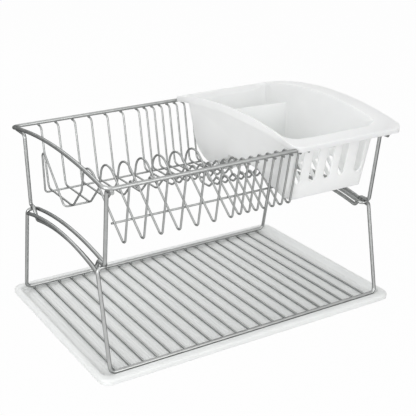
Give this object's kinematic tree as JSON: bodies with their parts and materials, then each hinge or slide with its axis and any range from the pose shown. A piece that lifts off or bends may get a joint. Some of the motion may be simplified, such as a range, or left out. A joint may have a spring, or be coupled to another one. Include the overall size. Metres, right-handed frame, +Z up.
{
  "type": "dish drying rack",
  "caption": "Two-tier dish drying rack of chromed wire with waved plate holders, a hanging moulded cutlery basket and a drip tray.",
  "frame": {"origin": "centre of the drip tray's underside, on the surface it stands on", "axes": "+X along the rack towards the cutlery basket, +Y towards the back, +Z up"},
  "size_m": [0.498, 0.332, 0.2968],
  "materials": {
    "chromed_wire": "satin chrome plating",
    "tray_plastic": "satin moulded plastic",
    "basket_plastic": "satin moulded plastic"
  },
  "bodies": {
    "tray": {"drip_tray": "tray_plastic"},
    "lower_rack": {"lower_frame": "chromed_wire", "lower_end_arc_left": "chromed_wire", "lower_end_arc_right": "chromed_wire", "shelf_wire_01": "chromed_wire", "shelf_wire_02": "chromed_wire", "shelf_wire_03": "chromed_wire", "shelf_wire_04": "chromed_wire", "shelf_wire_05": "chromed_wire", "shelf_wire_06": "chromed_wire", "shelf_wire_07": "chromed_wire", "shelf_wire_08": "chromed_wire", "shelf_wire_09": "chromed_wire", "shelf_wire_10": "chromed_wire", "shelf_wire_11": "chromed_wire", "shelf_wire_12": "chromed_wire", "shelf_wire_13": "chromed_wire", "shelf_wire_14": "chromed_wire", "shelf_wire_15": "chromed_wire", "shelf_wire_16": "chromed_wire", "shelf_wire_17": "chromed_wire", "shelf_wire_18": "chromed_wire", "shelf_wire_19": "chromed_wire", "shelf_wire_20": "chromed_wire", "shelf_wire_21": "chromed_wire"},
    "upper_rack": {"upper_rim": "chromed_wire", "end_wire_left": "chromed_wire", "end_wire_right": "chromed_wire", "plate_wire_01": "chromed_wire", "plate_wire_02": "chromed_wire", "plate_wire_03": "chromed_wire", "plate_wire_04": "chromed_wire", "plate_wire_05": "chromed_wire", "plate_wire_06": "chromed_wire", "plate_wire_07": "chromed_wire", "cup_wire_01": "chromed_wire", "cup_wire_02": "chromed_wire", "cup_wire_03": "chromed_wire", "cup_wire_04": "chromed_wire", "cup_wire_05": "chromed_wire", "cup_wire_06": "chromed_wire", "cup_wire_07": "chromed_wire", "base_rod": "chromed_wire", "trough_rod": "chromed_wire"},
    "basket": {"cutlery_basket": "basket_plastic"}
  },
  "joints": [
    {"name": "lower_rack_lift", "type": "slide", "parent": "tray", "child": "lower_rack", "axis": [0, 0, 1], "range_m": [0, 0.04]},
    {"name": "upper_rack_lift", "type": "slide", "parent": "lower_rack", "child": "upper_rack", "axis": [0, 0, 1], "range_m": [0, 0.08]},
    {"name": "basket_lift", "type": "slide", "parent": "upper_rack", "child": "basket", "axis": [0, 0, 1], "range_m": [0, 0.13]}
  ]
}
